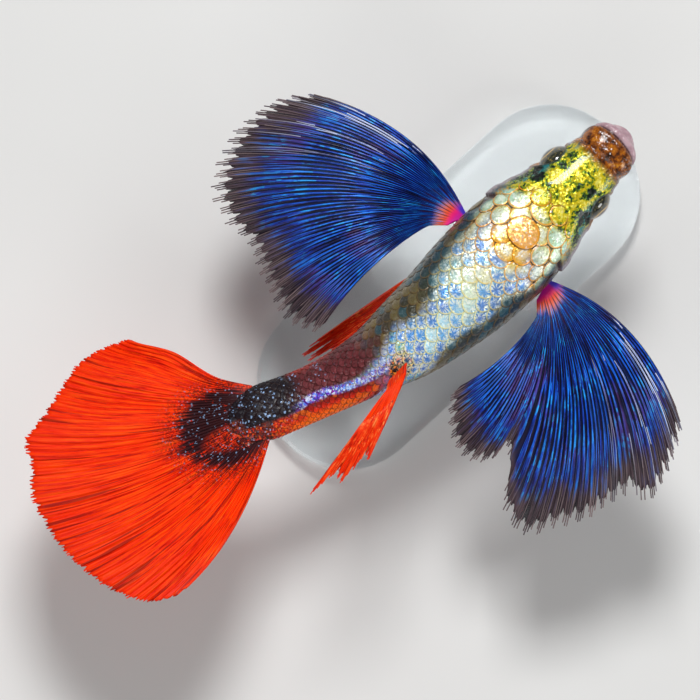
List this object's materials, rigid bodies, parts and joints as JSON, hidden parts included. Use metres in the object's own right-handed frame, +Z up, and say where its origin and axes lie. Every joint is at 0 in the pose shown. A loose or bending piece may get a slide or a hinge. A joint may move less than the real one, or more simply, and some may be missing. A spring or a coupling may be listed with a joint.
{
  "type": "fancy guppy display model",
  "caption": "Life-size model of a male fancy guppy with broad blue pectoral fins and a red fan tail, on a plain clear stand.",
  "frame": {"origin": "middle of the stand's underside", "axes": "+X towards the head, +Y the fish's left side, +Z up, with the body level above the stand"},
  "size_m": [0.0546, 0.043, 0.0217],
  "materials": {
    "head_skin": "gold and green skin with fine scales, satin gloss",
    "jaw_skin": "pink, slightly translucent lip skin, glossy",
    "eye": "black pupil in a gold ring under a clear glossy cornea",
    "pearl_scales": "ice blue and ivory scales with gold rims, glittering",
    "dark_red_scales": "dark red and black scales with blue and gold specks",
    "blue_fin": "royal blue membrane over dark rays, translucent tips",
    "red_fin": "orange red membrane with darker rays",
    "amber_fin": "amber translucent rays",
    "clear_acrylic": "clear polished acrylic"
  },
  "bodies": {
    "root": {"head": "head_skin", "lower_jaw": "jaw_skin", "eye_left": "eye", "eye_right": "eye", "trunk_front": "pearl_scales", "trunk_rear": "pearl_scales", "tail_stalk": "dark_red_scales", "fin_caudal": "red_fin", "fin_dorsal": "red_fin", "fin_pelvic_left": "red_fin", "fin_pelvic_right": "red_fin", "fin_pectoral_left": "blue_fin", "fin_pectoral_right": "blue_fin", "fin_anal": "amber_fin", "stand_base": "clear_acrylic", "stand_rod_front": "clear_acrylic", "stand_rod_rear": "clear_acrylic"}
  },
  "joints": []
}
